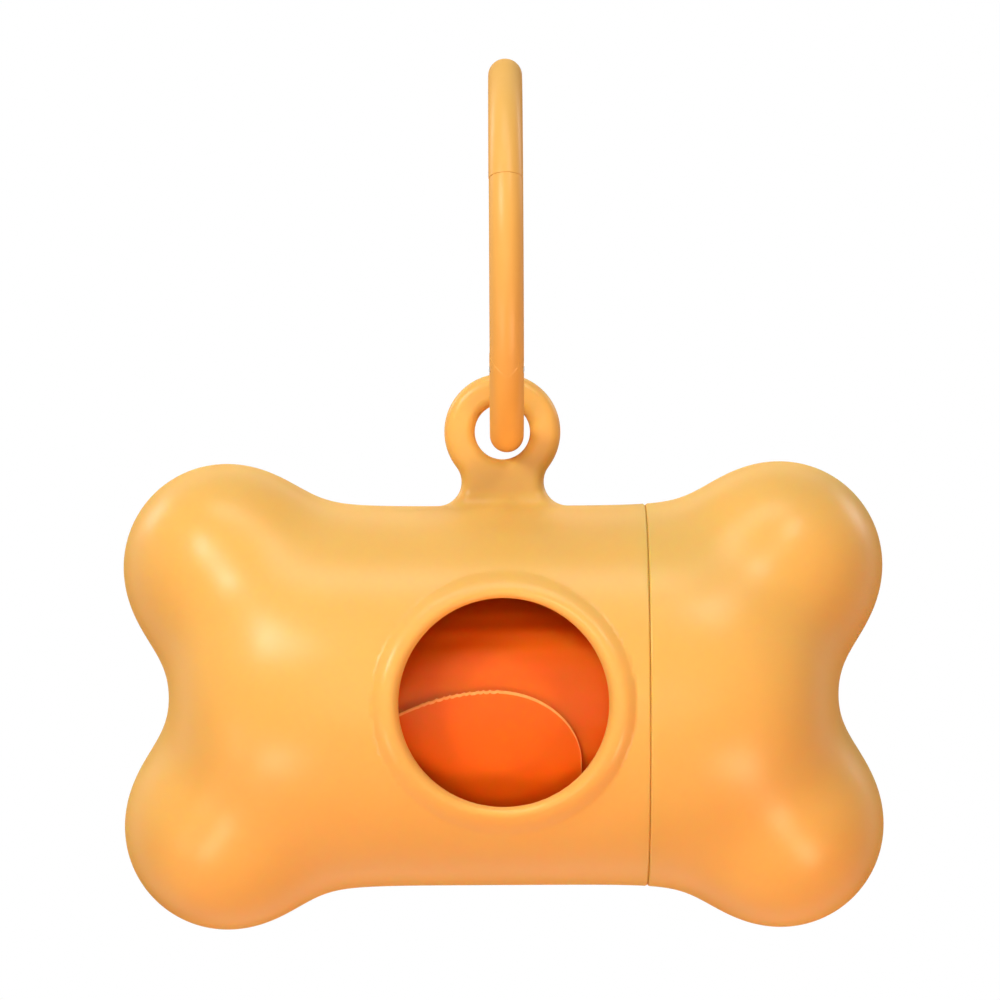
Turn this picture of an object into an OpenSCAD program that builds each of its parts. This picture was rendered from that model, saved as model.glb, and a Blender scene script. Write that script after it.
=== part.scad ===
// Bone-shaped dispenser for rolls of small bags, hanging from a spring-gate ring.
//
// The case and its end cap share one bone-shaped skin. The skin is a smooth blend of a
// round-ended tube and four lobes, found along rays from the bone's own axis.
// X runs along the bone towards the cap, the dispensing window faces -Y, and Z is up.
// The origin is where the ring hangs: the top of its inside.
// All sizes are in millimetres.

/* [Bone] */
// Length of the bone over its lobes
body_length = 84.8; // [80:0.4:102]
// Height of the bone over its lobes
body_height = 52; // [46:0.5:60]
// Diameter of the tube between the lobes
tube_d = 42.5; // [40:0.5:51]
// Radius of each lobe, seen from the front
lobe_r = 11.3; // [10.5:0.1:12.5]
// Thickness of each lobe from front to back
lobe_depth = 25; // [22:0.5:30]
// Length over which the tube keeps its full diameter
straight_length = 24; // [20:1:28]
// How far the tube's own end lies behind the ends of the lobes
end_hollow = 5.6; // [4:0.2:8]
// Squareness of the tube's rounded end, where 2 is an ellipse
end_fullness = 3.0; // [2.4:0.1:3.6]
// Softness of the blend between the tube and the lobes
blend = 2.2; // [1.4:0.1:2.6]

/* [Shell and cap joint] */
// Wall of the case along the tube, which the neck's thread is cut from
tube_wall = 3.55; // [3.2:0.05:4]
// Wall behind the lobes and the hollow of the bone's ends
end_wall = 2; // [1.5:0.1:2.6]
// Wall of the neck inside its thread
neck_wall = 1.2; // [1:0.1:1.4]
// Length of the neck that carries the cap
neck_length = 6; // [4:0.5:6]
// Radial room between the plain neck and the cap for the two threads
thread_room = 0.5; // [0.4:0.05:0.6]
// Radial clearance of the plain land that centres the cap
land_clearance = 0.1; // [0.06:0.02:0.2]
// Width of that land
land_width = 1; // [0.6:0.1:1.6]
// Gap between the case and the closed cap
seam_gap = 0.12; // [0.08:0.02:0.3]
// Rounding of both edges at the seam
seam_edge = 0.35; // [0.2:0.05:0.6]

/* [Dispensing window] */
// Diameter of the round window in the front
window_d = 23; // [18:0.5:25]
// Width of the raised rim around it
rim_width = 2.9; // [2:0.1:3.4]
// Height of the rim above the tube at its left and right
rim_side_height = 0.75; // [0.4:0.05:1.2]
// Height of the rim above the tube at its top and bottom
rim_top_height = 0.3; // [0.2:0.05:0.8]
// Plain tube between the rim and the seam
rim_to_seam = 1.5; // [1:0.1:3]

/* [Lug] */
// Outer diameter of the eyelet
lug_d = 13; // [12:0.2:15]
// Diameter of the hole for the ring
eyelet_d = 6.2; // [5.6:0.1:7]
// Thickness of the lug from front to back
lug_thickness = 4.6; // [3.6:0.2:6]
// Height of the eyelet's centre above the tube
lug_rise = 8.3; // [7.6:0.1:10]
// Fillet between the tube and the sides of the lug
lug_fillet = 2.7; // [2:0.1:3.2]
// Fillet between the tube and the front and back of the lug
lug_face_fillet = 2; // [1.4:0.1:2.6]
// Rounding of the lug's edges
lug_edge = 1.3; // [0.8:0.1:1.6]

/* [Ring] */
// Outer diameter of the ring
ring_d = 44.1; // [38:0.5:52]
// Diameter of the ring's wire
wire_d = 3.8; // [3.2:0.1:4]
// How far the wire sits below the middle of the eyelet
wire_drop = 0.4; // [0:0.1:0.5]
// How far the wire sits to the cap's side of the eyelet's middle
wire_side = 0.5; // [0:0.1:0.5]
// Angle of the gate's nose above the front of the ring
gate_nose = 22; // [10:1:40]
// Angle of the gate's pivot below the front of the ring
gate_pivot = 40; // [30:1:45]
// Thickness of the gate's tongue in the slot of the ring
tongue = 1.4; // [1.2:0.1:1.6]
// Gap on each side of the tongue
slot_gap = 0.12; // [0.1:0.02:0.2]
// Diameter of the gate's pin
pin_d = 1; // [0.8:0.1:1.2]
// Radial clearance of the pin in the tongue
pin_clearance = 0.05; // [0.03:0.01:0.1]
// Gap between the gate and the ring at the nose and round the pivot
gate_gap = 0.22; // [0.15:0.01:0.35]
// Angle that the gate opens by
gate_opening = 36; // [25:1:40]

/* [Bag roll] */
// Radial room for the roll in the case, on a centred roll
roll_room = 2.7; // [2.4:0.1:4]
// Gap between the edge of each end of the roll and the wall behind it
roll_end_gap = 0.35; // [0.2:0.05:1]
// Outer diameter of the cardboard core
core_d = 15; // [13:0.5:18]
// Wall of the core
core_wall = 1; // [0.8:0.1:1.4]
// Thickness of the first bag's loose end, folded in four
flap_thickness = 0.3; // [0.2:0.05:0.5]
// How far that end reaches past the middle of the window, towards the cap
flap_reach = 8.5; // [6:0.5:11]
// Rounding of its corner there
flap_corner = 5; // [2:0.5:7]
// Gap under the roll, which rests in the bottom of the case
rest_gap = 0.45; // [0.3:0.05:0.8]

/* [Hidden] */

body_colour = "#f6b95e";
metal_colour = "#c9c9c4";
film_colour = "#ee5c12";
card_colour = "#c8a06c";

// Bone skin
tube_r = tube_d / 2;
lobe_x = body_length / 2 - lobe_r;
lobe_z = body_height / 2 - lobe_r;
lobe_y_ratio = lobe_depth / 2 / lobe_r;
straight_x = straight_length / 2;
round_end = body_length / 2 - end_hollow - straight_x;
far = body_length;
bisections = 19;
skin_sides = 72;
hollow_sides = 48;

// Shell and cap joint
bore_r = tube_r - tube_wall;
neck_r = bore_r + neck_wall;
mouth_r = neck_r + thread_room;
window_r = window_d / 2;
rim_r = window_r + rim_width;
seam_x = rim_r + rim_to_seam;
cap_x = seam_x + seam_gap;
mouth_depth = neck_length + 0.4;
// The rays that find a bone end fan out from this point on the axis.
fan_x = max(lobe_x - 0.85 * lobe_r, cap_x + 3);
// The hollow of a bone end stays this much inside the bore.
hollow_step = 0.3;
hollow_r = bore_r - hollow_step;
hollow_x = fan_x - 2;
overlap = 1;

// Lug and ring
lug_r = lug_d / 2;
eyelet_z = tube_r + lug_rise;
ring_r = (ring_d - wire_d) / 2;
wire_r = wire_d / 2;
ring_z = eyelet_z - wire_drop + ring_r;
hang_z = ring_z + ring_r - wire_r;
lap_angle = 4;
tongue_r = wire_r - 0.35;
spring_turns = 7;
spring_wire = 0.3;
spring_d = 1.5;
spring_pitch = 0.62;
spring_length = spring_turns * spring_pitch + spring_wire;
heel_gap = 0.1;

// Bag roll
roll_r = bore_r - roll_room;
roll_z = -(hollow_r - roll_r - flap_thickness - rest_gap);
// The roll is as long as the hollow lets it be, down to a whole half-millimetre.
roll_length = floor(4 * roll_reach()) / 2;
core_r = core_d / 2;
flap_from = -105;
flap_to = 6;
flap_left = -roll_length / 2 + 1.5;

// ---- Bone skin ----

// Signed height above the round-ended tube, about 0 on its surface.
function tube_height(p) =
    let (
        across = norm([p[1], p[2]]) / tube_r,
        along = max(abs(p[0]) - straight_x, 0) / round_end
    )
    (pow(pow(across, end_fullness) + pow(along, end_fullness), 1 / end_fullness) - 1) * tube_r;

// Signed height above the lobe on the side that sx and sz give.
function lobe_height(p, sx, sz) =
    (norm([p[0] - sx * lobe_x, p[1] / lobe_y_ratio, p[2] - sz * lobe_z]) / lobe_r - 1) * lobe_r;

// Signed height above the blended bone.
function bone_height(p) =
    let (
        heights = [
            tube_height(p),
            lobe_height(p, 1, 1), lobe_height(p, 1, -1),
            lobe_height(p, -1, 1), lobe_height(p, -1, -1)
        ],
        shares = [for (h = heights) exp(-h / blend)]
    )
    -blend * ln(shares * [1, 1, 1, 1, 1]);

// Distance along a ray to the skin, or to the surface that lies depth inside it.
function reach(start, way, depth, near = 0, far = far, steps = bisections) =
    let (middle = (near + far) / 2)
    steps == 0 ? middle
    : bone_height(start + middle * way) < -depth
        ? reach(start, way, depth, middle, far, steps - 1)
        : reach(start, way, depth, near, middle, steps - 1);

// How far each end of the roll can reach before its edge comes within roll_end_gap of a wall.
function roll_reach() =
    min([
        for (turn = [-90:15:90])
            reach(
                [0, roll_r * cos(turn), roll_z + roll_r * sin(turn)], [1, 0, 0],
                end_wall + roll_end_gap
            )
    ]);

function ray_way(tilt, turn) = [cos(tilt), sin(tilt) * cos(turn), sin(tilt) * sin(turn)];

// The bone is the same in all four quarters, so one quarter of each ring is measured.
function quarter(i, sides) =
    let (half = i % (sides / 2))
    half <= sides / 4 ? half : sides / 2 - half;

// A station is [x on the axis, tilt of its rays from the axis, cut-back at an edge].
// Stations at the same x with a falling tilt fan round the end of the bone.
function straight_stations(from_x) =
    let (
        shoulder = max(from_x + seam_edge + 0.6, straight_x),
        steps = ceil((fan_x - shoulder) / 1.7)
    )
    concat(
        [[from_x, 90, seam_edge], [from_x + 0.3 * seam_edge, 90, 0.3 * seam_edge]],
        [[from_x + seam_edge, 90, 0]],
        from_x < 0 ? [[0, 90, 0]] : [],
        [for (i = [0:steps - 1]) [shoulder + (fan_x - shoulder) * i / steps, 90, 0]]
    );

function fan_stations(steps) = [for (i = [0:steps - 1]) [fan_x, 90 * (1 - i / steps), 0]];

// A solid of rings of rays that closes with a flat face at its first station and a point
// at the bone's end. No ray passes the radius limit_r from the axis.
module ray_solid(stations, sides, depth, limit_r) {
    rows = len(stations);
    reaches = [
        for (s = stations) [
            for (q = [0:sides / 4])
                min(
                    reach([s[0], 0, 0], ray_way(s[1], 360 * q / sides), depth),
                    limit_r / max(sin(s[1]), 0.01)
                ) - s[2]
        ]
    ];
    tip = reach([fan_x, 0, 0], [1, 0, 0], depth);
    points = concat(
        [
            for (k = [0:rows - 1]) for (i = [0:sides - 1])
                [stations[k][0], 0, 0]
                + reaches[k][quarter(i, sides)] * ray_way(stations[k][1], 360 * i / sides)
        ],
        [[fan_x + tip, 0, 0]]
    );
    skin = [
        for (k = [0:rows - 2]) for (i = [0:sides - 1])
            let (
                a = k * sides + i,
                b = k * sides + (i + 1) % sides,
                c = a + sides,
                d = b + sides
            )
            each [[a, c, b], [b, c, d]]
    ];
    last = (rows - 1) * sides;
    cone = [for (i = [0:sides - 1]) [last + i, rows * sides, last + (i + 1) % sides]];
    base = [for (i = [0:sides - 1]) i];
    polyhedron(points = points, faces = concat([base], skin, cone));
}

// The bone from the plane at from_x to its end on the cap's side.
module bone(from_x) {
    ray_solid(concat(straight_stations(from_x), fan_stations(22)), skin_sides, 0, far);
}

// The hollow of the bone's end on the cap's side, as far as a straight core can reach.
module end_hollow_core() {
    ray_solid(concat([[hollow_x, 90, 0]], fan_stations(11)), hollow_sides, end_wall, hollow_r);
}

module x_cylinder(radius, from_x, to_x) {
    translate([from_x, 0, 0])
        rotate([0, 90, 0])
            cylinder(r = radius, h = to_x - from_x, $fn = 96);
}

// ---- Window rim and lug ----

// Height of the rim's rounded section, from 0 at the window to 1 at the outer edge.
function rim_profile(t) = t < 0.45 ? 0.62 + 0.38 * sin(90 * t / 0.45) : cos(90 * (t - 0.45) / 0.55);

// The raised rim follows the tube and stands higher at its left and right.
module window_rim() {
    around = 72;
    across = 8;
    inner_r = window_r - 0.5;
    points = [
        for (i = [0:around - 1])
            let (
                turn = 360 * i / around,
                crest = rim_top_height + (rim_side_height - rim_top_height) * pow(cos(turn), 2)
            )
            each concat(
                [
                    for (j = [0:across])
                        let (
                            t = j / across,
                            r = inner_r + (rim_r - inner_r) * t,
                            z = r * sin(turn)
                        )
                        [r * cos(turn), -sqrt(tube_r * tube_r - z * z) - crest * rim_profile(t), z]
                ],
                [
                    for (r = [rim_r - 0.4, inner_r])
                        let (z = r * sin(turn))
                        [r * cos(turn), -sqrt(tube_r * tube_r - z * z) + 1.2, z]
                ]
            )
    ];
    row = across + 3;
    faces = [
        for (i = [0:around - 1]) for (j = [0:row - 1])
            let (
                a = i * row + j,
                b = i * row + (j + 1) % row,
                c = (i + 1) % around * row + j,
                d = (i + 1) % around * row + (j + 1) % row
            )
            each [[a, c, b], [b, c, d]]
    ];
    polyhedron(points = points, faces = faces);
}

// The circle of the fillet beside the lug touches both the tube's top and the eyelet.
fillet_z = tube_r + lug_fillet;
fillet_x = sqrt(pow(lug_r + lug_fillet, 2) - pow(eyelet_z - fillet_z, 2));
touch_z = eyelet_z - lug_r * (eyelet_z - fillet_z) / (lug_r + lug_fillet);
// The fillet in front of the lug touches the lug's face and the round of the tube.
face_fillet_y = lug_thickness / 2 + lug_face_fillet;
face_fillet_z = sqrt(pow(tube_r + lug_face_fillet, 2) - pow(face_fillet_y, 2));

function fillet_width(z, centre, centre_z, r) =
    abs(z - centre_z) >= r ? (z > centre_z ? centre - r : centre) : centre - sqrt(r * r - pow(z - centre_z, 2));

function lug_half_width(z) = fillet_width(z, fillet_x, fillet_z, lug_fillet);

function lug_half_depth(z) =
    z > face_fillet_z ? lug_thickness / 2
    : fillet_width(z, face_fillet_y, face_fillet_z, lug_face_fillet);

// One section of the lug's neck: a rectangle with round corners.
function neck_section(z, inset) =
    let (
        w = lug_half_width(z) - inset,
        d = lug_half_depth(z) - inset,
        corner = min(lug_edge, d * 0.9)
    )
    [
        for (quadrant = [0:3]) for (i = [0:4])
            let (
                turn = quadrant * 90 + i * 22.5,
                sx = quadrant == 0 || quadrant == 3 ? 1 : -1,
                sy = quadrant < 2 ? 1 : -1
            )
            [sx * (w - corner) + corner * cos(turn), sy * (d - corner) + corner * sin(turn), z]
    ];

module lug_neck() {
    base_z = sqrt(tube_r * tube_r - face_fillet_y * face_fillet_y) - 1;
    levels = 11;
    sections = concat(
        [
            for (k = [0:levels])
                neck_section(base_z + (touch_z - base_z) * k / levels, 0)
        ],
        [neck_section(touch_z + 0.6, 0.7)]
    );
    count = len(sections[0]);
    rows = len(sections);
    skin = [
        for (k = [0:rows - 2]) for (i = [0:count - 1])
            let (
                a = k * count + i,
                b = k * count + (i + 1) % count,
                c = a + count,
                d = b + count
            )
            each [[a, c, b], [b, c, d]]
    ];
    bottom = [for (i = [0:count - 1]) i];
    top = [for (i = [count - 1:-1:0]) (rows - 1) * count + i];
    polyhedron(points = [for (s = sections) each s], faces = concat(skin, [bottom, top]));
}

// A ring of rectangular section with round edges, lying in the XZ plane.
module eyelet_ring() {
    inner = eyelet_d / 2;
    wide = lug_r - inner;
    translate([0, 0, eyelet_z])
        rotate([90, 0, 0])
            rotate_extrude($fn = 96)
                translate([inner + wide / 2, 0]) {
                    square([wide, lug_thickness - 2 * lug_edge], center = true);
                    square([wide - 2 * lug_edge, lug_thickness], center = true);
                    for (sx = [-1, 1])
                        for (sy = [-1, 1])
                            translate([sx * (wide / 2 - lug_edge), sy * (lug_thickness / 2 - lug_edge)])
                                circle(r = lug_edge, $fn = 32);
                }
}

// Everything on the bone is drawn about its own centre and moved below the hang point.
module on_bone() {
    translate([-wire_side, 0, -hang_z])
        children();
}

module case_body() {
    color(body_colour)
        on_bone()
            difference() {
                union() {
                    mirror([1, 0, 0])
                        bone(-seam_x);
                    window_rim();
                    lug_neck();
                    eyelet_ring();
                    x_cylinder(neck_r, seam_x - overlap, seam_x + neck_length);
                    x_cylinder(mouth_r - land_clearance, seam_x - overlap, seam_x + seam_gap + land_width);
                }
                x_cylinder(bore_r, -hollow_x - overlap / 2, seam_x + neck_length + overlap);
                mirror([1, 0, 0])
                    end_hollow_core();
                translate([0, -tube_r / 2, 0])
                    rotate([90, 0, 0])
                        cylinder(r = window_r, h = tube_r, $fn = 96);
                translate([0, lug_thickness, eyelet_z])
                    rotate([90, 0, 0])
                        cylinder(r = eyelet_d / 2, h = 2 * lug_thickness, $fn = 64);
            }
}

module end_cap() {
    color(body_colour)
        on_bone()
            difference() {
                bone(cap_x);
                x_cylinder(mouth_r, cap_x - overlap, seam_x + mouth_depth);
                x_cylinder(bore_r, cap_x, max(hollow_x + overlap / 2, seam_x + mouth_depth + 1));
                end_hollow_core();
            }
}

// ---- Ring ----

// Places a ring drawn in the XY plane: its X axis to the front, its Y axis up.
module on_ring() {
    translate([0, 0, -(ring_r - wire_r)])
        rotate([90, 0, -90])
            children();
}

// A stretch of the ring's wire between two angles above its front.
module wire_arc(from, to, radius = wire_r) {
    rotate([0, 0, from])
        rotate_extrude(angle = to - from, $fn = 144)
            translate([ring_r, 0])
                circle(r = radius, $fn = 48);
}

// A stretch of the ring's space between two radii.
module ring_space(from, to, from_r, to_r) {
    rotate([0, 0, from])
        rotate_extrude(angle = to - from, $fn = 144)
            translate([from_r, -wire_d])
                square([to_r - from_r, 2 * wire_d]);
}

module at_pivot() {
    rotate([0, 0, -gate_pivot])
        translate([ring_r, 0, 0])
            children();
}

module pivot_disc(radius, thickness) {
    at_pivot()
        cylinder(r = radius, h = thickness, center = true, $fn = 64);
}

wire_degrees = wire_r / ring_r * 180 / PI;
// Distances from the pin to the ends of the gate's outer half and of its nose
gate_reach = 2 * ring_r * sin((gate_nose + gate_pivot) / 2);
nose_reach = 2 * ring_r * sin((gate_nose + lap_angle + gate_pivot) / 2);

// A slab square to the line from the pin to the gate's nose, between two distances from
// the pin. Ends cut square to that line swing clear of each other.
module across_gate(from, to) {
    at_pivot()
        rotate([0, 0, 90 + (gate_nose + gate_pivot) / 2])
            translate([from, -3 * wire_d, -3 * wire_d])
                cube([to - from, 6 * wire_d, 6 * wire_d]);
}

// The slot is open wide enough for the gate's tongue both shut and open.
module tongue_slot() {
    width = tongue + 2 * slot_gap;
    pivot_disc(tongue_r + gate_gap + 0.05, width);
    at_pivot()
        translate([-wire_d, 0, -width / 2])
            cube([2 * wire_d, wire_d, width]);
    at_pivot()
        rotate([0, 0, gate_opening])
            translate([-wire_d, 0, -width / 2])
                cube([wire_d, wire_d, width]);
}

module ring_body() {
    color(body_colour)
        on_ring()
            difference() {
                union() {
                    wire_arc(gate_nose - 3, 360 - gate_pivot);
                    // The cheeks end in a round about the pin.
                    intersection() {
                        wire_arc(-gate_pivot - 1, -gate_pivot + wire_degrees + 1);
                        pivot_disc(wire_r, wire_d);
                    }
                }
                // Room for the gate's outer half, and under the ring's lap for its nose.
                across_gate(gate_reach - 8, gate_reach + gate_gap);
                intersection() {
                    across_gate(gate_reach - 7, nose_reach + gate_gap);
                    ring_space(gate_nose - 12, gate_nose + 16, ring_r - wire_d, ring_r + gate_gap / 2);
                }
                tongue_slot();
                at_pivot()
                    cylinder(r = pin_d / 2, h = 2 * wire_d, center = true, $fn = 32);
                // Well for the spring, from the slot down into the wire.
                at_pivot()
                    rotate([90, 0, 0])
                        cylinder(r = spring_d / 2 + 0.1, h = tongue_r + heel_gap + spring_length, $fn = 32);
            }
}

module ring_gate() {
    color(body_colour)
        on_ring()
            difference() {
                union() {
                    difference() {
                        wire_arc(-gate_pivot, gate_nose + 12);
                        across_gate(nose_reach, nose_reach + 2 * wire_d);
                        // Only the inner half goes on into the nose, under the ring's lap.
                        intersection() {
                            across_gate(gate_reach, nose_reach + wire_d);
                            ring_space(gate_nose - 8, gate_nose + 16, ring_r - gate_gap / 2, ring_r + wire_d);
                        }
                        // The shoulder is hollowed round the cheeks.
                        pivot_disc(wire_r + gate_gap, 2 * wire_d);
                    }
                    // Tongue about the pin, tied to the gate.
                    pivot_disc(tongue_r, tongue);
                    intersection() {
                        wire_arc(-gate_pivot, -gate_pivot + 2 * wire_degrees);
                        at_pivot()
                            translate([-tongue_r, 0, -tongue / 2])
                                cube([2 * tongue_r, 2 * wire_d, tongue]);
                    }
                }
                at_pivot()
                    cylinder(r = pin_d / 2 + pin_clearance, h = 2 * wire_d, center = true, $fn = 32);
            }
}

module gate_pin() {
    color(metal_colour)
        on_ring()
            at_pivot()
                cylinder(r = pin_d / 2, h = wire_d - 0.1, center = true, $fn = 32);
}

// The spring pushes on the heel of the gate's tongue from its well in the ring.
module gate_spring() {
    per_turn = 8;
    around = 6;
    rings = spring_turns * per_turn;
    mean_r = (spring_d - spring_wire) / 2;
    // Distance between neighbouring turns of the wire, which stays over zero.
    echo(least_gap_between_turns = spring_pitch - spring_wire);
    points = [
        for (k = [0:rings]) for (i = [0:around - 1])
            let (
                turn = 360 * k / per_turn,
                r = mean_r + spring_wire / 2 * cos(360 * i / around)
            )
            [
                r * cos(turn), r * sin(turn),
                spring_pitch * k / per_turn + spring_wire / 2 * sin(360 * i / around)
            ]
    ];
    skin = [
        for (k = [0:rings - 1]) for (i = [0:around - 1])
            let (
                a = k * around + i,
                b = k * around + (i + 1) % around,
                c = a + around,
                d = b + around
            )
            each [[a, b, c], [b, d, c]]
    ];
    start = [for (i = [around - 1:-1:0]) i];
    end = [for (i = [0:around - 1]) rings * around + i];
    color(metal_colour)
        on_ring()
            at_pivot()
                rotate([90, 0, 0])
                    translate([0, 0, tongue_r + heel_gap + spring_wire / 2])
                        polyhedron(points = points, faces = concat(skin, [start, end]));
}

// ---- Bag roll ----

module on_roll() {
    on_bone()
        translate([0, 0, roll_z])
            children();
}

module roll_core() {
    color(card_colour)
        on_roll()
            difference() {
                x_cylinder(core_r, -roll_length / 2, roll_length / 2);
                x_cylinder(core_r - core_wall, -roll_length, roll_length);
            }
}

module bag_roll() {
    color(film_colour)
        on_roll()
            difference() {
                x_cylinder(roll_r, -roll_length / 2, roll_length / 2);
                x_cylinder(core_r, -roll_length, roll_length);
            }
}

// The first bag's loose end lies over the front of the roll.
module first_bag_end() {
    corner_z = roll_r * sin(flap_to) - flap_corner;
    color(film_colour)
        on_roll()
            difference() {
                translate([flap_left, 0, 0])
                    rotate([90, 0, 90])
                        rotate([0, 0, 180 - flap_to])
                            rotate_extrude(angle = flap_to - flap_from, $fn = 96)
                                translate([roll_r, 0])
                                    square([flap_thickness, flap_reach - flap_left]);
                // What lies outside the rounded corner, whose arc ends just short of tangent.
                difference() {
                    translate([flap_reach - flap_corner, -roll_r - 2, corner_z])
                        cube([flap_corner + 1, roll_r, flap_corner + 2]);
                    translate([flap_reach - flap_corner, 0, corner_z])
                        rotate([90, 0, 0])
                            cylinder(r = flap_corner + 0.05, h = 2 * roll_r, $fn = 96);
                }
            }
}

ring_body();
gate_pin();
gate_spring();
ring_gate();
case_body();
end_cap();
roll_core();
bag_roll();
first_bag_end();
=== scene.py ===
import math

import bmesh
import bpy
import numpy as np
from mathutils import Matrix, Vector


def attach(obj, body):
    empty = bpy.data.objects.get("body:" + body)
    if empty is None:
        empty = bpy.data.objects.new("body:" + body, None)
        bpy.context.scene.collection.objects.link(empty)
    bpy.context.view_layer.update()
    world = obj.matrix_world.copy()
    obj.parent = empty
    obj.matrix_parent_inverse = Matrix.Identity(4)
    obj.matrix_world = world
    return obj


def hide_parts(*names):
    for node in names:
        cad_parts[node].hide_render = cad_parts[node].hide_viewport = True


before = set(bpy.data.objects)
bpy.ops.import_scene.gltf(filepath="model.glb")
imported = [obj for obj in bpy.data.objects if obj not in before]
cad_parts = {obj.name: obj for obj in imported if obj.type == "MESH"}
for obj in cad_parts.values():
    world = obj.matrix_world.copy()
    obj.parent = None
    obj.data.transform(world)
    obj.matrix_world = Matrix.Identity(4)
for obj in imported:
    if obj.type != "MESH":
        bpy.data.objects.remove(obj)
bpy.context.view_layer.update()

# ---- Sizes, in millimetres ----
# Heights and places are measured from the bone's centre. Where the part's own model has the
# same feature, it has the same size, but for the window's rim and height and the seam's gap.

BONE_CENTRE = np.array((-0.5, 0.0, -67.55))  # in the row frame, where the ring hangs at 0

# The bone: a round-ended tube and four lobes.
TUBE_R = 21.25
STRAIGHT, ROUND_END = 12.0, 24.8  # half the tube's straight length, and each end's length
FULLNESS = 3.0  # 2 gives an elliptical end, more a fuller one
LOBE_X, LOBE_Z = 31.1, 14.7
LOBE_R, LOBE_HALF_DEPTH = 11.3, 12.5
BLEND = 2.2

# The hollow, and where the cap meets the case.
BORE_R, END_R, HOLLOW_X = 17.7, 17.4, 19.5
END_WALL, END_EDGE = 2.0, 1.2
SEAM_X, CAP_X = 15.955, 15.97
SEAM_EDGE, MOULDED_EDGE = 0.24, 0.3
NECK_R, MOUTH_R = 18.9, 19.4
NECK_END, MOUTH_END = 21.9, 22.3
NECK_ROOT = 14.0  # the neck reaches back into the wall as far as this
LAND_CLEAR, LAND_LENGTH, LAND_EDGE = 0.1, 1.1, 0.12  # the plain band that the mouth slides on
THREAD_PITCH, THREAD_HEIGHT, THREAD_FADE = 2.6, 0.36, 0.5
NECK_THREAD, MOUTH_THREAD = (17.6, 21.2), (17.9, 21.8)  # from, to

# The window and its rim, which stands higher at the sides than above and below.
WINDOW_R, WINDOW_Z = 11.5, -0.3
WINDOW_EDGE, WINDOW_INNER_EDGE = 1.05, 0.4
WINDOW_EDGE_DEPTH = 1.8  # the front's rounding reaches this far into the wall
RIM_R, RIM_INNER = 14.4, 11.0
RIM_SIDE, RIM_TOP = 0.85, 0.3
RIM_PEAK, RIM_START = 0.55, 0.62  # where across the rim it is highest, and how high it starts
RIM_MELT = 0.10

# The lug with its eyelet.
EYELET_Z, LUG_R, EYELET_R = 29.55, 6.5, 3.1
LUG_HALF_DEPTH, LUG_EDGE, EYELET_EDGE = 2.3, 1.3, 1.15
LUG_FILLET, LUG_FACE_FILLET = 2.7, 2.0
LUG_ROOT = 14.0

# The roll of bags on its core.
ROLL_Z, ROLL_R, ROLL_HALF = -1.65, 15.0, 29.0
CORE_R = 7.5

# ---- Heights above surfaces: below 0 inside the piece, 0 on its skin ----


def both(a, b, r):
    """Where both a and b are inside, with an edge rounded to r."""
    outer = np.hypot(np.maximum(a + r, 0), np.maximum(b + r, 0))
    return np.minimum(np.maximum(a, b), -r) + outer


def either(a, b, r):
    """Where a or b is inside, with a fillet of r."""
    inner = np.hypot(np.maximum(r - a, 0), np.maximum(r - b, 0))
    return np.maximum(np.minimum(a, b), r) - inner


def melt(a, b, width):
    """Where a or b is inside, smoothed only where they are within width of each other."""
    near = np.maximum(width - np.abs(a - b), 0) / width
    return np.minimum(a, b) - near * near * width / 4


def bone(x, y, z):
    """The tube and the lobes, blended into one skin by a smooth sum of their distances."""
    across = np.hypot(y, z) / TUBE_R
    along = np.maximum(np.abs(x) - STRAIGHT, 0) / ROUND_END
    tube = ((across**FULLNESS + along**FULLNESS) ** (1 / FULLNESS) - 1) * TUBE_R
    shares = np.exp(-tube / BLEND)
    squashed_y = y * LOBE_R / LOBE_HALF_DEPTH
    for sx in (-1, 1):
        for sz in (-1, 1):
            from_middle = (x - sx * LOBE_X) ** 2 + squashed_y**2 + (z - sz * LOBE_Z) ** 2
            shares = shares + np.exp(-(np.sqrt(from_middle) - LOBE_R) / BLEND)
    return -BLEND * np.log(shares)


def skin(x, y, z):
    """The bone with the window's raised rim, which falls away below the skin outside."""
    plain = bone(x, y, z)
    rho = np.hypot(x, z - WINDOW_Z)
    sideways = np.abs(x / np.maximum(rho, 1e-6))
    crest = RIM_TOP + (RIM_SIDE - RIM_TOP) * sideways**1.3
    t = (rho - RIM_INNER) / (RIM_R - RIM_INNER)
    rising = np.sin(np.pi / 2 * np.clip(t / RIM_PEAK, -1, 1))
    falling = np.cos(np.pi / 2 * np.clip((t - RIM_PEAK) / (1 - RIM_PEAK), 0, 1.6))
    share = np.where(t < RIM_PEAK, RIM_START + (1 - RIM_START) * rising, falling)
    share = np.where(rho > RIM_R * 1.25, -2.0, share)
    raised = melt(plain, plain - crest * share, RIM_MELT)
    return np.where((y < 0) & (rho < RIM_R * 1.3), raised, plain)


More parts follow.
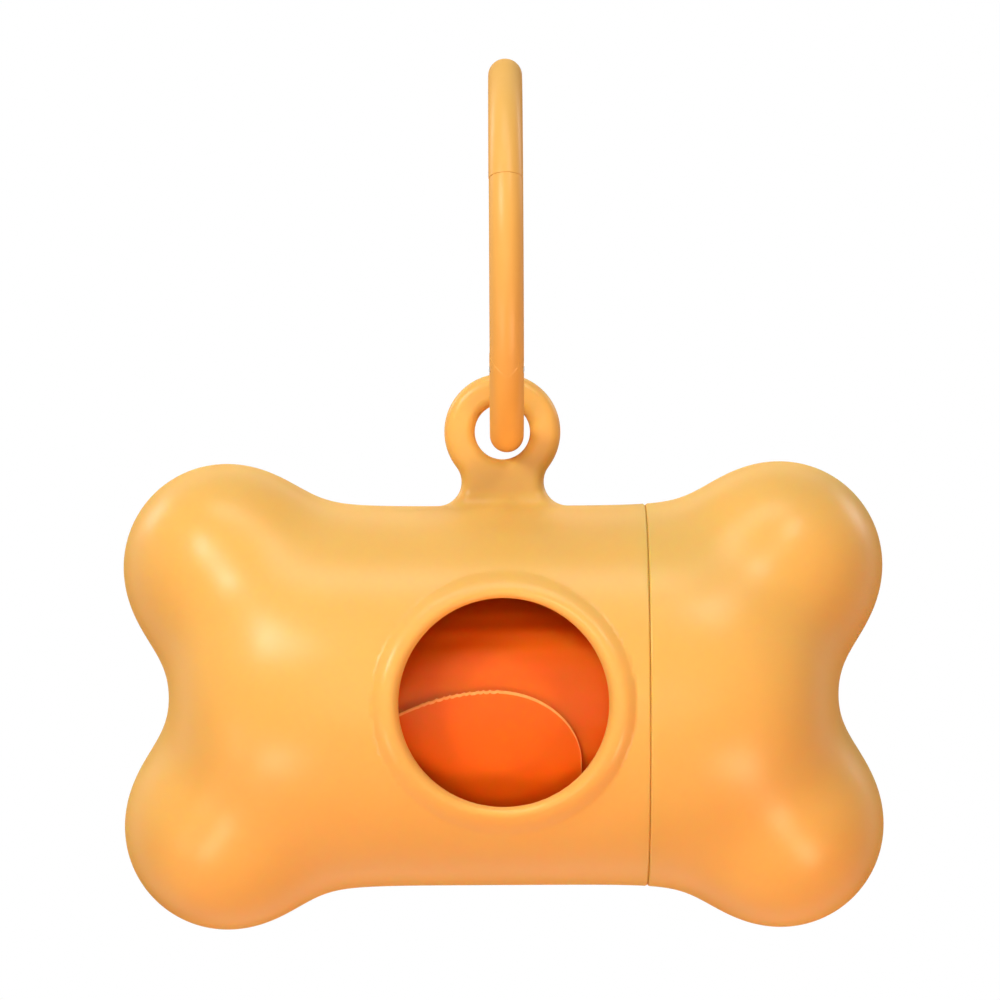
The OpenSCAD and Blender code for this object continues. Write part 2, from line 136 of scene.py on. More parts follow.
def lug(x, y, z, body):
    """The eyelet on its neck, filleted into the tube."""
    fillet_z = TUBE_R + LUG_FILLET
    fillet_x = math.sqrt((LUG_R + LUG_FILLET) ** 2 - (EYELET_Z - fillet_z) ** 2)
    ax = np.abs(x)
    round_top = np.hypot(x, z - EYELET_Z) - LUG_R
    hollow_side = LUG_FILLET - np.hypot(ax - fillet_x, z - fillet_z)
    # The line from the eyelet's centre to the fillet's parts the two arcs.
    below = (ax * (fillet_z - EYELET_Z) - (z - EYELET_Z) * fillet_x) > 0
    outline = np.where(below & (ax < fillet_x), hollow_side, round_top)
    beside = (ax >= fillet_x) & (z < EYELET_Z)
    outline = np.where(beside, np.maximum(outline, ax - fillet_x + 0.01), outline)
    outline = np.maximum(outline, LUG_ROOT - z)
    slab = either(np.abs(y) - LUG_HALF_DEPTH, body, LUG_FACE_FILLET)
    solid = both(slab, outline, LUG_EDGE)
    return both(solid, EYELET_R - np.hypot(x, z - EYELET_Z), EYELET_EDGE)


def thread(x, y, z, start, end, shift):
    """How far a screw thread's ridge stands up, faded at its two ends. Half a turn's shift
    puts one thread's ridge in the other's groove."""
    turn = np.arctan2(z, y) / (2 * np.pi)
    phase = (x / THREAD_PITCH - turn + shift) % 1.0
    # Half the pitch wide at its foot and a fifth at its flat top, with rounded flanks.
    ridge = np.clip(1.6 - np.abs(phase - 0.5) * 6.4, 0, 1)
    ridge = ridge * ridge * (3 - 2 * ridge)
    fade_in = np.clip((x - start) / THREAD_FADE, 0, 1)
    fade_out = np.clip((end - x) / THREAD_FADE, 0, 1)
    return THREAD_HEIGHT * (ridge * (fade_in * fade_out))


def hollow(x, y, z, side):
    """The bore and the hollow of the bone's end, as a straight core leaves them."""
    r = np.hypot(y, z)
    end = both(r - END_R, bone(x, y, z) + END_WALL, END_EDGE)
    return np.where(x * side > HOLLOW_X, end, r - BORE_R)


def case_height(x, y, z):
    """The case: bone up to the seam, threaded neck with its land, lug, hollow and window."""
    body = skin(x, y, z)
    r = np.hypot(y, z)
    solid = both(body, x - SEAM_X, SEAM_EDGE)
    ridge = thread(x, y, z, *NECK_THREAD, 0.0)
    neck = both(r - NECK_R - ridge, np.maximum(x - NECK_END, NECK_ROOT - x), MOULDED_EDGE)
    land_span = np.maximum(x - SEAM_X - LAND_LENGTH, NECK_ROOT - x)
    land = both(r - MOUTH_R + LAND_CLEAR, land_span, LAND_EDGE)
    solid = np.minimum(solid, np.minimum(neck, land))
    solid = np.minimum(solid, lug(x, y, z, body))
    solid = both(solid, -hollow(x, y, z, -1), MOULDED_EDGE)
    far_inside = -50.0
    window = np.where(y < 0, WINDOW_R - np.hypot(x, z - WINDOW_Z), far_inside)
    # The edge is rounded generously in front and only broken behind.
    edge = np.where(body > -WINDOW_EDGE_DEPTH, WINDOW_EDGE, WINDOW_INNER_EDGE)
    return both(solid, window, edge)


def cap_height(x, y, z):
    """The cap: bone from the seam on, with a threaded mouth for the neck, and hollow."""
    r = np.hypot(y, z)
    solid = both(bone(x, y, z), CAP_X - x, SEAM_EDGE)
    ridge = thread(x, y, z, *MOUTH_THREAD, 0.5)
    mouth = np.maximum(r - MOUTH_R + ridge, x - MOUTH_END)
    return both(solid, -np.minimum(mouth, hollow(x, y, z, 1)), MOULDED_EDGE)


# ---- Meshes ----

CORNERS = [(i, j, k) for i in (0, 1) for j in (0, 1) for k in (0, 1)]
CELL_EDGES = [
    (a, b) for a in range(8) for b in range(a + 1, 8)
    if sum(abs(p - q) for p, q in zip(CORNERS[a], CORNERS[b])) == 1
]


def slope(height, points, step=0.01):
    """The direction and steepness in which the height rises at each point."""
    rise = np.empty_like(points)
    for axis in range(3):
        ahead, behind = points.copy(), points.copy()
        ahead[:, axis] += step
        behind[:, axis] -= step
        rise[:, axis] = (height(*ahead.T) - height(*behind.T)) / (2 * step)
    return rise


def settle(height, points, rounds):
    """The points moved onto the skin."""
    for _ in range(rounds):
        rise = slope(height, points)
        steep = np.maximum((rise**2).sum(1), 0.05)
        move = -height(*points.T) / steep
        points = points + np.clip(move, -0.5, 0.5)[:, None] * rise
    return points


def surface_net(height, axes):
    """(points, quads) of the skin of height, with one point in each cell of the grid that it
    crosses, spread evenly and moved onto the skin."""
    grid = height(*np.meshgrid(*axes, indexing="ij"))
    inside = grid < 0
    # How many of each cell's corners are inside.
    spans = [n - 1 for n in inside.shape]
    count = sum(
        inside[tuple(slice(c, span + c) for c, span in zip(corner, spans))].astype(np.int8)
        for corner in CORNERS
    )
    cells = np.argwhere((count > 0) & (count < 8))
    number = np.full(count.shape, -1, np.int64)
    number[tuple(cells.T)] = np.arange(len(cells))
    values = np.stack([grid[tuple((cells + c).T)] for c in CORNERS], 1)
    places = np.stack(
        [np.stack([axes[d][cells[:, d] + c[d]] for d in range(3)], 1) for c in CORNERS], 1
    )
    # Each cell's point starts in the middle of where the skin crosses the cell's edges.
    total, hits = np.zeros((len(cells), 3)), np.zeros(len(cells))
    for a, b in CELL_EDGES:
        crossed = (values[:, a] < 0) != (values[:, b] < 0)
        share = np.where(crossed, values[:, a] / (values[:, a] - values[:, b] + 1e-30), 0)
        along = share[:, None] * (places[:, b] - places[:, a])
        total += crossed[:, None] * (places[:, a] + along)
        hits += crossed
    points = total / hits[:, None]
    # Each grid line that the skin crosses gets a face between the four cells round it.
    quads = []
    for d in range(3):
        e, f = [n for n in range(3) if n != d]
        step = [0, 0, 0]
        step[d] = 1
        low = inside[tuple(slice(0, n - s) for n, s in zip(inside.shape, step))]
        high = inside[tuple(slice(s, n) for n, s in zip(inside.shape, step))]
        edges = np.argwhere(low != high)
        edges = edges[(edges[:, e] > 0) & (edges[:, f] > 0)]
        edges = edges[(edges[:, e] < count.shape[e]) & (edges[:, f] < count.shape[f])]
        around = []
        for de, df in ((-1, -1), (0, -1), (0, 0), (-1, 0)):
            cell = edges.copy()
            cell[:, e] += de
            cell[:, f] += df
            around.append(number[tuple(cell.T)])
        quad = np.stack(around, 1)
        outward = low[tuple(edges.T)] == (d != 1)
        quad[~outward] = quad[~outward][:, ::-1]
        quads.append(quad)
    quads = np.concatenate(quads)
    points = settle(height, points, 2)
    # Each point moves halfway to the middle of its neighbours and back onto the skin.
    for _ in range(4):
        middle, shares = np.zeros_like(points), np.zeros(len(points))
        for a, b in ((0, 1), (1, 2), (2, 3), (3, 0)):
            for here, there in ((a, b), (b, a)):
                for axis in range(3):
                    to = points[quads[:, there], axis]
                    middle[:, axis] += np.bincount(quads[:, here], to, len(points))
                shares += np.bincount(quads[:, here], minlength=len(points))
        points = settle(height, 0.5 * points + 0.5 * middle / shares[:, None], 1)
    return settle(height, points, 2), quads


def spaced(low, high, pitch, fine=()):
    """Grid lines from low to high, closer together within each (from, to, pitch) of fine."""
    lines, at = [low], low
    while at < high:
        step = min([p for a, b, p in fine if a <= at < b] + [pitch])
        at += step
        lines.append(at)
    return np.array(lines)


def mesh_object(name, points, faces, normals=None):
    """A smooth-shaded object from points in millimetres in the row frame."""
    mesh = bpy.data.meshes.new(name)
    mesh.from_pydata((np.asarray(points) / 1000).tolist(), [], faces)
    mesh.polygons.foreach_set("use_smooth", [True] * len(mesh.polygons))
    if normals is not None:
        mesh.normals_split_custom_set_from_vertices(normals.tolist())
    mesh.validate()
    thing = bpy.data.objects.new(name, mesh)
    bpy.context.scene.collection.objects.link(thing)
    return thing


def moulding(name, height, axes):
    """A piece whose skin is where its height is 0, with its normals taken from the height."""
    points, quads = surface_net(height, axes)
    normals = slope(height, points)
    normals /= np.linalg.norm(normals, axis=1)[:, None]
    return mesh_object(name, points + BONE_CENTRE, quads.tolist(), normals)


PITCH = 0.49
SEAM_LINES = ((15.3, 17.3, 0.16),)
DEPTH_LINES = spaced(-22.9, 22.9, PITCH)
case = moulding(
    "moulded_case", case_height,
    (spaced(-43.5, 22.9, PITCH, SEAM_LINES), DEPTH_LINES, spaced(-27, 37, PITCH)),
)
cap = moulding(
    "moulded_end_cap", cap_height,
    (spaced(15.2, 43.5, PITCH, SEAM_LINES), DEPTH_LINES, spaced(-27, 27, PITCH)),
)


def loop_faces(loops, count):
    """The faces between loops of count points each, numbered loop by loop."""
    return [
        (r * count + i, r * count + (i + 1) % count,
         (r + 1) * count + (i + 1) % count, (r + 1) * count + i)
        for r in range(loops - 1) for i in range(count)
    ]


# The roll of bags: film wound on the core, with fine lengthways creases and layered ends.
def wound_roll():
    """Out over one end, along the outside, in over the other end and back along the core."""
    around, layers, steps_along = 288, 34, 90
    core_clear = 0.04
    rng = np.random.default_rng(7)
    waves = [
        (rng.integers(9, 46), rng.uniform(0, 6.28), rng.uniform(0.02, 0.09),
         rng.uniform(-0.08, 0.08))
        for _ in range(9)
    ]
    turn = np.arange(around) / around * 2 * np.pi

    def ring(x, r, ripple):
        wave = sum(h * np.sin(n * turn + p + lean * x) for n, p, h, lean in waves)
        radius = r - ripple * (0.10 + 0.16 * wave)
        along = np.broadcast_to(x, turn.shape)
        return np.stack([along, radius * np.sin(turn), radius * np.cos(turn)], 1)

    ends = []
    for side in (-1, 1):
        end = []
        for k in range(layers * 2 + 1):
            r = CORE_R + core_clear + (ROLL_R - CORE_R - core_clear) * k / (layers * 2)
            dent = 0.10 * (k % 2) + 0.25 * (rng.random() if k % 2 else 0)
            wobble = 0.08 * np.sin(3 * turn + k * 0.35) + 0.05 * np.sin(11 * turn + k * 0.9)
            x = side * (ROLL_HALF - 0.35 - dent + wobble)
            # The creases grow over the outer fifth of the end.
            end.append(ring(x, r, max(0, (k / (layers * 2) - 0.8) * 5)))
        ends.append(end)
    reach = ROLL_HALF - 0.3
    outer = [ring(x, ROLL_R, 1.0) for x in np.linspace(-reach, reach, steps_along)]
    rows = ends[0] + outer + ends[1][::-1]
    rows = [row + BONE_CENTRE + (0, 0, ROLL_Z) for row in rows]
    rows.append(rows[0])
    points = [p for row in rows for p in row]
    return mesh_object("wound_bag_roll", points, loop_faces(len(rows), around))


roll = wound_roll()


# The first bag's loose end: film lying on the roll, with torn perforations along the top and
# a rounded corner on the right.
BAG_LEFT, BAG_SIDE = -27.5, 8.5
EDGE_TOP, EDGE_MIDDLE = 1.04, -1.0  # the free edge's highest point
CORNER_DROP = 7.8
SAG, SLOPE_FROM, SLOPE = 0.0225, -12, 0.5
TORN_FROM, TORN_TO = -9.4, -0.6
BAG_LOWER_TURN = math.radians(-105)  # where the film goes round behind, below the window


def free_edge(x):
    """Height of the free edge above the bone's axis, at x along the bone."""
    if x > EDGE_MIDDLE:
        across = (x - EDGE_MIDDLE) / (BAG_SIDE - EDGE_MIDDLE)
        return EDGE_TOP - CORNER_DROP * (1 - math.sqrt(max(0.0, 1 - across**2)))
    if x > SLOPE_FROM:
        return EDGE_TOP - SAG * (x - EDGE_MIDDLE) ** 2
    return EDGE_TOP - SAG * (SLOPE_FROM - EDGE_MIDDLE) ** 2 - SLOPE * (SLOPE_FROM - x)


def bag_end():
    """Two layers of points, inner and outer, closed along their borders."""
    columns, rows = 220, 48
    inner_r, thick, thin_share = ROLL_R + 0.02, 0.26, 0.55
    crowding = 1.6  # the rows lie closer together towards the free edge
    tooth_height, tooth_half_width, tear_drop = 0.16, 0.14, 0.05
    rng = np.random.default_rng(3)
    teeth = np.cumsum(rng.uniform(0.55, 1.05, 40)) - 9.6

    def column_x(i):
        """The columns lie closer together towards the bag's side."""
        return BAG_LEFT + (BAG_SIDE - BAG_LEFT) * math.sin(i / columns * math.pi / 2)

    points = []
    for layer in (0, 1):
        for i in range(columns + 1):
            x = column_x(i)
            edge = free_edge(min(x, BAG_SIDE - 1e-4))
            if TORN_FROM < x < TORN_TO:
                near = np.abs(teeth - x).min()
                edge += tooth_height * math.exp(-((near / tooth_half_width) ** 2)) - tear_drop
            edge_turn = math.asin(np.clip((edge - ROLL_Z) / (inner_r + thick), -1, 1))
            for k in range(rows + 1):
                v = 1 - (1 - k / rows) ** crowding
                turn = BAG_LOWER_TURN + (edge_turn - BAG_LOWER_TURN) * v
                # The free edge stands off the roll a little, and the film ripples.
                lift = 0.10 * v**14 + 0.05 * math.sin(x * 0.5 + turn * 3) * v**3
                r = inner_r + lift
                if layer:
                    r += thick * (thin_share if k in (0, rows) else 1)
                points.append((x, -r * math.cos(turn), r * math.sin(turn) + ROLL_Z))
    count = rows + 1
    faces = []
    offset = (columns + 1) * count
    for i in range(columns):
        for k in range(rows):
            a = i * count + k
            b = offset + a
            faces.append((a, a + 1, a + count + 1, a + count))
            faces.append((b, b + count, b + count + 1, b + 1))
    for i in range(columns):
        for k in (0, rows):
            a, b = i * count + k, (i + 1) * count + k
            quad = (a, b, offset + b, offset + a)
            faces.append(quad if k else quad[::-1])
    for k in range(rows):
        for i in (0, columns):
            a, b = i * count + k, i * count + k + 1
            quad = (a, b, offset + b, offset + a)
            faces.append(quad[::-1] if i else quad)
    thing = mesh_object("first_bag_loose_end", np.array(points) + BONE_CENTRE, faces)
    # The edge along the tear and round the corner gets a second material, a paler painted
    # highlight where the edge catches the light, which thins out to the left of the tear.
    arc = 29.0  # roughly the film's length from its lower end to its free edge
    highlight_width, highlight_fade, highlight_side = 0.34, 7, 12
    for face in thing.data.polygons:
        k = max(v % count for v in face.vertices)
        i = max(v % offset for v in face.vertices) // count
        x = column_x(i)
        below = (1 - k / rows) ** crowding * arc
        wide = highlight_width * min(1.0, max(0.0, 1 - (TORN_FROM - x) / highlight_fade))
        if below < wide or (BAG_SIDE - x < 0.05 and below < highlight_side):
            face.material_index = 1
    return thing


bag = bag_end()

# ---- The ring: the wire, its gate and the gate's pin ----

RING_R, WIRE_R = 20.15, 1.9  # of the wire's middle, and of the wire itself
RING_Z = -18.25  # of the ring's centre, in the row frame
# Angles above the ring's front: the gate's hinge, its nose, and how far the nose is lapped.
PIVOT, NOSE, LAP = math.radians(-40), math.radians(22), math.radians(4)
TURN = 2 * math.pi
# The gate is a hair thinner than the ring and set a hair to one side, which leaves a faint
# step where they meet.
GATE_R, GATE_SHIFT = 1.88, 0.02
LAP_FLOOR = 0.03  # each half of the lap stays this far from the wire's middle
LAP_GAP = 0.012 / RING_R  # along the ring, as an angle
WHOLE = 99  # an offset that cuts nothing off the wire


def wire_skin(name, sections, sides=64):
    """A wire along the ring. Each section is [angle above the front, wire radius, least and
    most offset from the wire's middle away from the ring's centre, sideways shift], and its
    angle may be a function of that offset."""
    points = []
    for angle, radius, low, high, shift in sections:
        for i in range(sides):
            turn = TURN * i / sides
            out = min(max(radius * math.cos(turn), low), high)
            at = angle(out) if callable(angle) else angle
            points.append((
                radius * math.sin(turn) + shift,
                -(RING_R + out) * math.cos(at),
                RING_Z + (RING_R + out) * math.sin(at),
            ))
    faces = [(a, d, c, b) for a, b, c, d in loop_faces(len(sections), sides)]
    faces.append(list(range(sides)))
    faces.append(list(range(len(points) - sides, len(points)))[::-1])
    thing = mesh_object(name, points, faces)
    settle_normals(thing, 32)
    return thing


def settle_normals(thing, degrees):
    """Edges sharper than this stay crisp, and the faces point outwards."""
    mesh = bmesh.new()
    mesh.from_mesh(thing.data)
    bmesh.ops.remove_doubles(mesh, verts=mesh.verts, dist=2e-6)
    bmesh.ops.dissolve_degenerate(mesh, edges=mesh.edges, dist=1e-6)
    bmesh.ops.recalc_face_normals(mesh, faces=mesh.faces)
    sharp = math.radians(degrees)
    for edge in mesh.edges:
        edge.smooth = len(edge.link_faces) == 2 and edge.calc_face_angle() < sharp
    mesh.to_mesh(thing.data)
    mesh.free()


def rounded_end(at, towards, radius, low, high, shift, edge=0.05):
    """Three sections that round a wire's edge off at an end."""
    sections = []
    for along, cut in ((0.0, edge), (0.3, 0.3 * edge), (1.0, 0.0)):
        sections.append([
            at + along * (edge / RING_R * towards),
            radius - cut,
            low if low == -WHOLE else low + cut,
            high if high == WHOLE else high - cut,
            shift,
        ])
    return sections


def arc_sections(start, stop, radius, low, high, shift):
    """Even sections, about 2 degrees apart."""
    count = max(2, round(abs(stop - start) / math.radians(2)))
    angles = [start + (stop - start) * k / count for k in range(count + 1)]
    return [[angle, radius, low, high, shift] for angle in angles]


def knuckle_sections(steps=16):
    """The wire's end, rounded about the pin."""
    sections = []
    for k in range(1, steps + 1):
        along = WIRE_R * math.sin(k / steps * math.pi / 2)
        half = math.sqrt(max(WIRE_R**2 - along**2, 0)) + 0.004
        sections.append([PIVOT + TURN + along / RING_R, WIRE_R, -half, half, 0])
    return sections


# The ring itself: its outer half laps over the nose, and it ends in the knuckle.
ring_wire = wire_skin("coated_ring_wire", (
    rounded_end(NOSE + LAP_GAP, 1, WIRE_R, LAP_FLOOR, WHOLE, 0)
    + arc_sections(NOSE + LAP_GAP + 0.005, NOSE + LAP + LAP_GAP, WIRE_R, LAP_FLOOR, WHOLE, 0)
    + arc_sections(NOSE + LAP + LAP_GAP, PIVOT + TURN, WIRE_R, -WHOLE, WHOLE, 0)
    + knuckle_sections()
))


# The gate: hollowed round the knuckle, cut back inside so that it can swing in, and with
# its inner half carried on under the lap as the nose. Each arc stops just short of the
# rounded end that follows it.
def hollow_end(out):
    """Angle of the gate's hinge end at an offset from the wire's middle."""
    clear, cut_back_below, cut_back_to = WIRE_R + 0.03, -1.2, 0.98
    along = math.sqrt(max(clear**2 - out**2, 0.2))
    if out < cut_back_below:
        along = max(along, cut_back_to)
    return PIVOT + along / RING_R


GATE_WHOLE = (GATE_R, -WHOLE, WHOLE, GATE_SHIFT)
GATE_HALF = (GATE_R, -WHOLE, -LAP_FLOOR, GATE_SHIFT)
gate_wire = wire_skin("coated_ring_gate", (
    [[hollow_end, *GATE_WHOLE]]
    + arc_sections(PIVOT + 2.1 / RING_R, NOSE - 0.07 / RING_R, *GATE_WHOLE)
    + rounded_end(NOSE, -1, *GATE_WHOLE)[::-1]
    + [[NOSE, *GATE_HALF]]
    + arc_sections(NOSE + 0.002, NOSE + LAP - 0.1 / RING_R, *GATE_HALF)
    + rounded_end(NOSE + LAP - LAP_GAP, -1, *GATE_HALF)[::-1]
))


def peened_pin():
    """The gate's pin, with its ends spread and domed flush with the wire."""
    # Radius and place along the pin, from one end's middle to the other's.
    profile = [(0.0, 1.98), (0.3, 1.96), (0.5, 1.9), (0.58, 1.84), (0.5, 1.76), (0.5, 0.0)]
    profile += [(r, -x) for r, x in profile[-2::-1]]
    sides = 40
    y, z = -RING_R * math.cos(PIVOT), RING_Z + RING_R * math.sin(PIVOT)
    points = []
    for r, x in profile:
        for i in range(sides):
            turn = TURN * i / sides
            points.append((x, y + r * math.cos(turn), z + r * math.sin(turn)))
    faces = [(a, d, c, b) for a, b, c, d in loop_faces(len(profile), sides)]
    thing = mesh_object("peened_gate_pin", points, faces)
    settle_normals(thing, 50)
    return thing


pin = peened_pin()

# ---- What each piece rides on, and which node of the part it replaces ----

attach(case, "case")
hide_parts("case_body")
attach(cap, "cap")
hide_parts("end_cap")
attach(roll, "roll")
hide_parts("bag_roll")
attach(bag, "roll")
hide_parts("first_bag_end")
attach(ring_wire, "ring")
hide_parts("ring_body")
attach(gate_wire, "gate")
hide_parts("ring_gate")
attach(pin, "ring")
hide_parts("gate_pin")

# ---- Materials ----


def linear(hex_colour):
    """An sRGB hex colour as the linear values that a shader takes."""
    parts = [int(hex_colour[i : i + 2], 16) / 255 for i in (1, 3, 5)]
    parts = [c / 12.92 if c <= 0.04045 else ((c + 0.055) / 1.055) ** 2.4 for c in parts]
    return (*parts, 1.0)


def add(tree, kind, inputs=None, **settings):
    """A node with its settings. An input is a value, or another node's output to link."""
    node = tree.nodes.new(kind)
    for name, value in settings.items():
        setattr(node, name, value)
    for name, value in (inputs or {}).items():
        if isinstance(value, bpy.types.NodeSocket):
            tree.links.new(value, node.inputs[name])
        else:
            node.inputs[name].default_value = value
    return node


def new_material(name, **shader_values):
    """(material, its node tree, its shader), with constants set on the shader's own sockets."""
    material = bpy.data.materials.new(name)
    material.use_nodes = True
    tree = material.node_tree
    shader = tree.nodes["Principled BSDF"]
    for socket, value in shader_values.items():
        shader.inputs[socket.replace("_", " ")].default_value = value
    return material, tree, shader


def grain(tree, size_mm, **inputs):
    """Noise whose grains are about size_mm across, on the piece's own coordinates in metres."""
    place = add(tree, "ShaderNodeTexCoord").outputs["Object"]
    noise = add(tree, "ShaderNodeTexNoise", {
        "Vector": place, "Scale": 1000 / size_mm, **inputs,
    })
    return noise.outputs["Fac"]


def spread(tree, value, low, high):
    """value from 0 to 1 taken to low to high."""
    node = add(tree, "ShaderNodeMapRange", {"Value": value, "To Min": low, "To Max": high})
    return node.outputs["Result"]


def tint(tree, shader, value, low, high):
    """The shader's colour runs from low to high, two hex colours, as value goes from 0 to 1."""
    mix = add(tree, "ShaderNodeMix", {"Factor": value}, data_type="RGBA")
    mix.inputs[6].default_value = linear(low)
    mix.inputs[7].default_value = linear(high)
    tree.links.new(mix.outputs[2], shader.inputs["Base Color"])


def duller_at_the_edges(tree, shader, value, low, high):
    """Roughness from low to high, and matt where the fine texture is seen edge-on and shadows
    itself."""
    edge = add(tree, "ShaderNodeLayerWeight", {"Blend": 0.5}).outputs["Facing"]
    edge = add(tree, "ShaderNodeMapRange", {
        "Value": edge, "From Min": 0.45, "From Max": 0.92, "To Min": 0.0, "To Max": 0.55,
    }, interpolation_type="SMOOTHSTEP")
    total = add(tree, "ShaderNodeMath", {
        0: spread(tree, value, low, high), 1: edge.outputs["Result"],
    }, operation="ADD")
    tree.links.new(total.outputs[0], shader.inputs["Roughness"])


def rough(tree, shader, value, low, high):
    """Roughness from low to high."""
    tree.links.new(spread(tree, value, low, high), shader.inputs["Roughness"])


def bump(tree, shader, height, depth_mm, strength):
    """Relief of depth_mm, shaded only."""
    node = add(tree, "ShaderNodeBump", {
        "Height": height, "Distance": depth_mm / 1000, "Strength": strength,
    })
    tree.links.new(node.outputs["Normal"], shader.inputs["Normal"])


# ABS moulded in a fine spark-eroded tool: an even satin, soft wide highlights, a little
# light carried under the skin. The texture is matched as a lower specular level than ABS has
# when polished.
plastic, tree, shader = new_material(
    "satin_moulded_abs", IOR=1.5, Specular_IOR_Level=0.24,
    Subsurface_Weight=0.3, Subsurface_Scale=0.005,
)
shader.inputs["Subsurface Radius"].default_value = (1.0, 0.25, 0.05)
tint(tree, shader, grain(tree, 9.0, Detail=2.0), "#e4ae54", "#e6b45b")
duller_at_the_edges(tree, shader, grain(tree, 0.5, Detail=3.0), 0.28, 0.35)
bump(tree, shader, grain(tree, 0.16, Detail=2.0), 0.003, 0.6)
for thing in (case, cap):
    thing.data.materials.append(plastic)

# Zinc alloy with a baked powder coat in the case's colour: satin with a faint orange peel.
coat, tree, shader = new_material("powder_coated_zinc", IOR=1.5, Specular_IOR_Level=0.28)
tint(tree, shader, grain(tree, 4.0, Detail=2.0), "#dfa850", "#e2ad55")
duller_at_the_edges(tree, shader, grain(tree, 0.8), 0.34, 0.42)
bump(tree, shader, grain(tree, 0.9), 0.002, 0.6)

# Bright drawn steel for the pin and its spring: clean, with a slightly uneven shine.
steel, tree, shader = new_material("drawn_steel", Metallic=1.0)
tint(tree, shader, grain(tree, 0.4, Detail=2.0), "#b9b7b2", "#d0cec9")
rough(tree, shader, grain(tree, 0.25), 0.22, 0.34)

# Grey-brown board wound in a tube: fibrous and dull.
card, tree, shader = new_material("wound_paperboard", IOR=1.4)
tint(tree, shader, grain(tree, 0.7, Detail=5.0), "#a98560", "#c3a07a")
rough(tree, shader, grain(tree, 0.3), 0.8, 0.95)
bump(tree, shader, grain(tree, 0.3, Detail=4.0), 0.03, 0.7)

# Blown polythene film: saturated, smooth, with a soft shine. The wound roll, many layers
# deep, carries red light along under its skin, and the single loose end hardly any.
for thing, kind, carried_mm in ((roll, "wound", 3.5), (bag, "single", 0.15)):
    film, tree, shader = new_material(
        "polythene_film_" + kind, IOR=1.5, Specular_IOR_Level=0.12,
        Subsurface_Weight=1.0, Subsurface_Scale=carried_mm / 1000,
    )
    shader.inputs["Subsurface Radius"].default_value = (1.0, 0.06, 0.01)
    tint(tree, shader, grain(tree, 6.0, Detail=3.0), "#e6660a", "#ea7010")
    rough(tree, shader, grain(tree, 1.5), 0.34, 0.48)
    bump(tree, shader, grain(tree, 2.2, Detail=3.0), 0.02, 0.4)
    thing.data.materials.append(film)

# The film's heat-sealed and torn edge, with a painted highlight: paler than the flat film.
film_edge_highlight, tree, shader = new_material("film_edge_painted_highlight", IOR=1.5, Specular_IOR_Level=0.2)
tint(tree, shader, grain(tree, 0.5, Detail=3.0), "#f58a34", "#fdb062")
rough(tree, shader, grain(tree, 0.8), 0.4, 0.55)
bag.data.materials.append(film_edge_highlight)

ring_wire.data.materials.append(coat)
gate_wire.data.materials.append(coat)
pin.data.materials.append(steel)
for node, material in (("gate_spring", steel), ("roll_core", card)):
    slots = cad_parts[node].data.materials
    for i in range(max(1, len(slots))):
        if i < len(slots):
            slots[i] = material
        else:
            slots.append(material)

# ---- Floor, world, lamps and camera ----


def background_rays(tree):
    """1 for the rays that show the background: to the camera, in a reflection or through
    glass."""
    ray = add(tree, "ShaderNodeLightPath").outputs
    total = ray["Is Camera Ray"]
    for kind in ("Is Glossy Ray", "Is Transmission Ray"):
        either_ray = add(tree, "ShaderNodeMath", {0: total, 1: ray[kind]}, operation="MAXIMUM")
        total = either_ray.outputs[0]
    return total


FLOOR_Z, FLOOR_R = -0.45, 1.6  # in metres
FLOOR_WHITE = 0.86  # the share of plain white where the floor is only seen
WORLD_LIGHT, WORLD_WHITE = 0.02, 1.0

floor_mesh = bmesh.new()
bmesh.ops.create_circle(floor_mesh, cap_ends=True, segments=96, radius=FLOOR_R)
mesh = bpy.data.meshes.new("floor")
floor_mesh.to_mesh(mesh)
floor_mesh.free()
floor = bpy.data.objects.new("floor", mesh)
floor.location = (0, 0, FLOOR_Z)
bpy.context.scene.collection.objects.link(floor)
paper, tree, shader = new_material("white_paper_floor", Roughness=0.9)
sees = background_rays(tree)
# To bounced light the floor is a dark warm grey, which paints shade onto the undersides of the
# case; to the camera, in reflections and through glass it is pale paper.
tint(tree, shader, sees, "#6a6058", "#f4f2ef")
# Where the floor is only seen, most of it is the white background, and the rest is the lit
# paper, which keeps the object's shadow.
WHITE = (1, 1, 1, 1)
share = add(tree, "ShaderNodeMath", {0: sees, 1: FLOOR_WHITE}, operation="MULTIPLY").outputs[0]
white_paper = add(tree, "ShaderNodeEmission", {"Color": WHITE, "Strength": 1.0}).outputs[0]
both_papers = add(tree, "ShaderNodeMixShader", {0: share, 1: shader.outputs[0], 2: white_paper})
tree.links.new(both_papers.outputs[0], tree.nodes["Material Output"].inputs["Surface"])
floor.data.materials.append(paper)

world = bpy.data.worlds.new("studio")
bpy.context.scene.world = world
world.use_nodes = True
tree = world.node_tree
for node in list(tree.nodes):
    tree.nodes.remove(node)
light = add(tree, "ShaderNodeBackground", {"Color": WHITE, "Strength": WORLD_LIGHT}).outputs[0]
white = add(tree, "ShaderNodeBackground", {"Color": WHITE, "Strength": WORLD_WHITE}).outputs[0]
mixed = add(tree, "ShaderNodeMixShader", {0: background_rays(tree), 1: light, 2: white})
add(tree, "ShaderNodeOutputWorld", {"Surface": mixed.outputs[0]})

CASE_MIDDLE = Vector((-0.0005, 0, -0.0675))
# Warm fill from the left and below, which gives the undersides their deeper orange.
WARM, WARMER = "#ffcebc", "#ffc4a6"


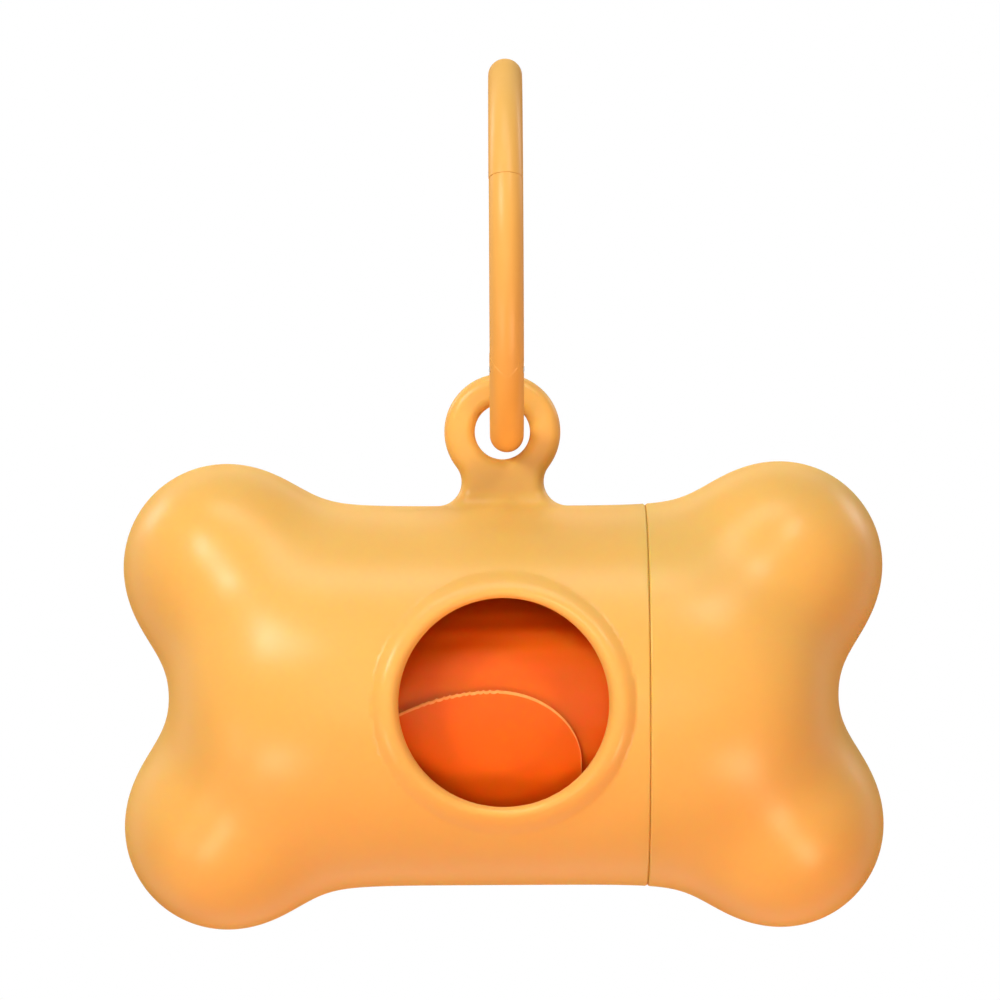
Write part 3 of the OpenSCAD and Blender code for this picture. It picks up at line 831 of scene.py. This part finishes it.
def softbox(name, azimuth, elevation, distance, width, height, watts, colour="#ffffff"):
    """A lamp aimed at the case. Azimuth 0 is in front and grows to the right, in degrees, and
    lengths are in metres."""
    a, e = math.radians(azimuth), math.radians(elevation)
    way = Vector((math.sin(a) * math.cos(e), -math.cos(a) * math.cos(e), math.sin(e)))
    lamp = bpy.data.lights.new(name, "AREA")
    lamp.shape = "RECTANGLE"
    lamp.size, lamp.size_y = width, height
    lamp.energy = watts
    lamp.color = linear(colour)[:3]
    thing = bpy.data.objects.new(name, lamp)
    thing.location = CASE_MIDDLE + way * distance
    thing.rotation_euler = way.to_track_quat("Z", "Y").to_euler()
    thing.visible_camera = False
    bpy.context.scene.collection.objects.link(thing)


softbox("key", -41, 33, 0.75, 0.10, 0.20, 2.25)
softbox("key_soft", -25, 30, 0.75, 0.14, 0.14, 1.0)
softbox("front", 0, 0, 0.75, 0.50, 0.40, 0.85)
softbox("overhead", -12, 74, 0.75, 0.40, 0.20, 1.6)
softbox("high_right", 30, 50, 0.75, 0.14, 0.18, 1.3)
softbox("left", -60, -20, 0.75, 0.20, 0.20, 0.62, WARM)
softbox("low_left", -35, -36, 0.6, 0.18, 0.18, 1.95, WARM)
softbox("low_right", 42, -38, 0.55, 0.18, 0.18, 2.2, WARMER)
softbox("behind", 180, 18, 0.75, 0.50, 0.40, 2.4)
softbox("behind_right", 130, 25, 0.75, 0.24, 0.24, 0.8)
softbox("behind_left", -125, 30, 0.75, 0.24, 0.24, 0.9)
softbox("behind_low", 180, -35, 0.6, 0.20, 0.20, 0.4, WARM)

# The photograph's view: level with the lug's foot, from 0.65 m in front.
camera_data = bpy.data.cameras.new("camera")
camera_data.lens, camera_data.sensor_width = 207.0, 36.0
camera_data.clip_start, camera_data.clip_end = 0.01, 10
camera = bpy.data.objects.new("camera", camera_data)
camera.location = (-0.0008, -0.645, -0.04565)
camera.rotation_euler = (math.radians(90), math.radians(0.28), 0)
bpy.context.scene.collection.objects.link(camera)
bpy.context.scene.camera = camera

bpy.context.scene.view_settings.view_transform = "Standard"
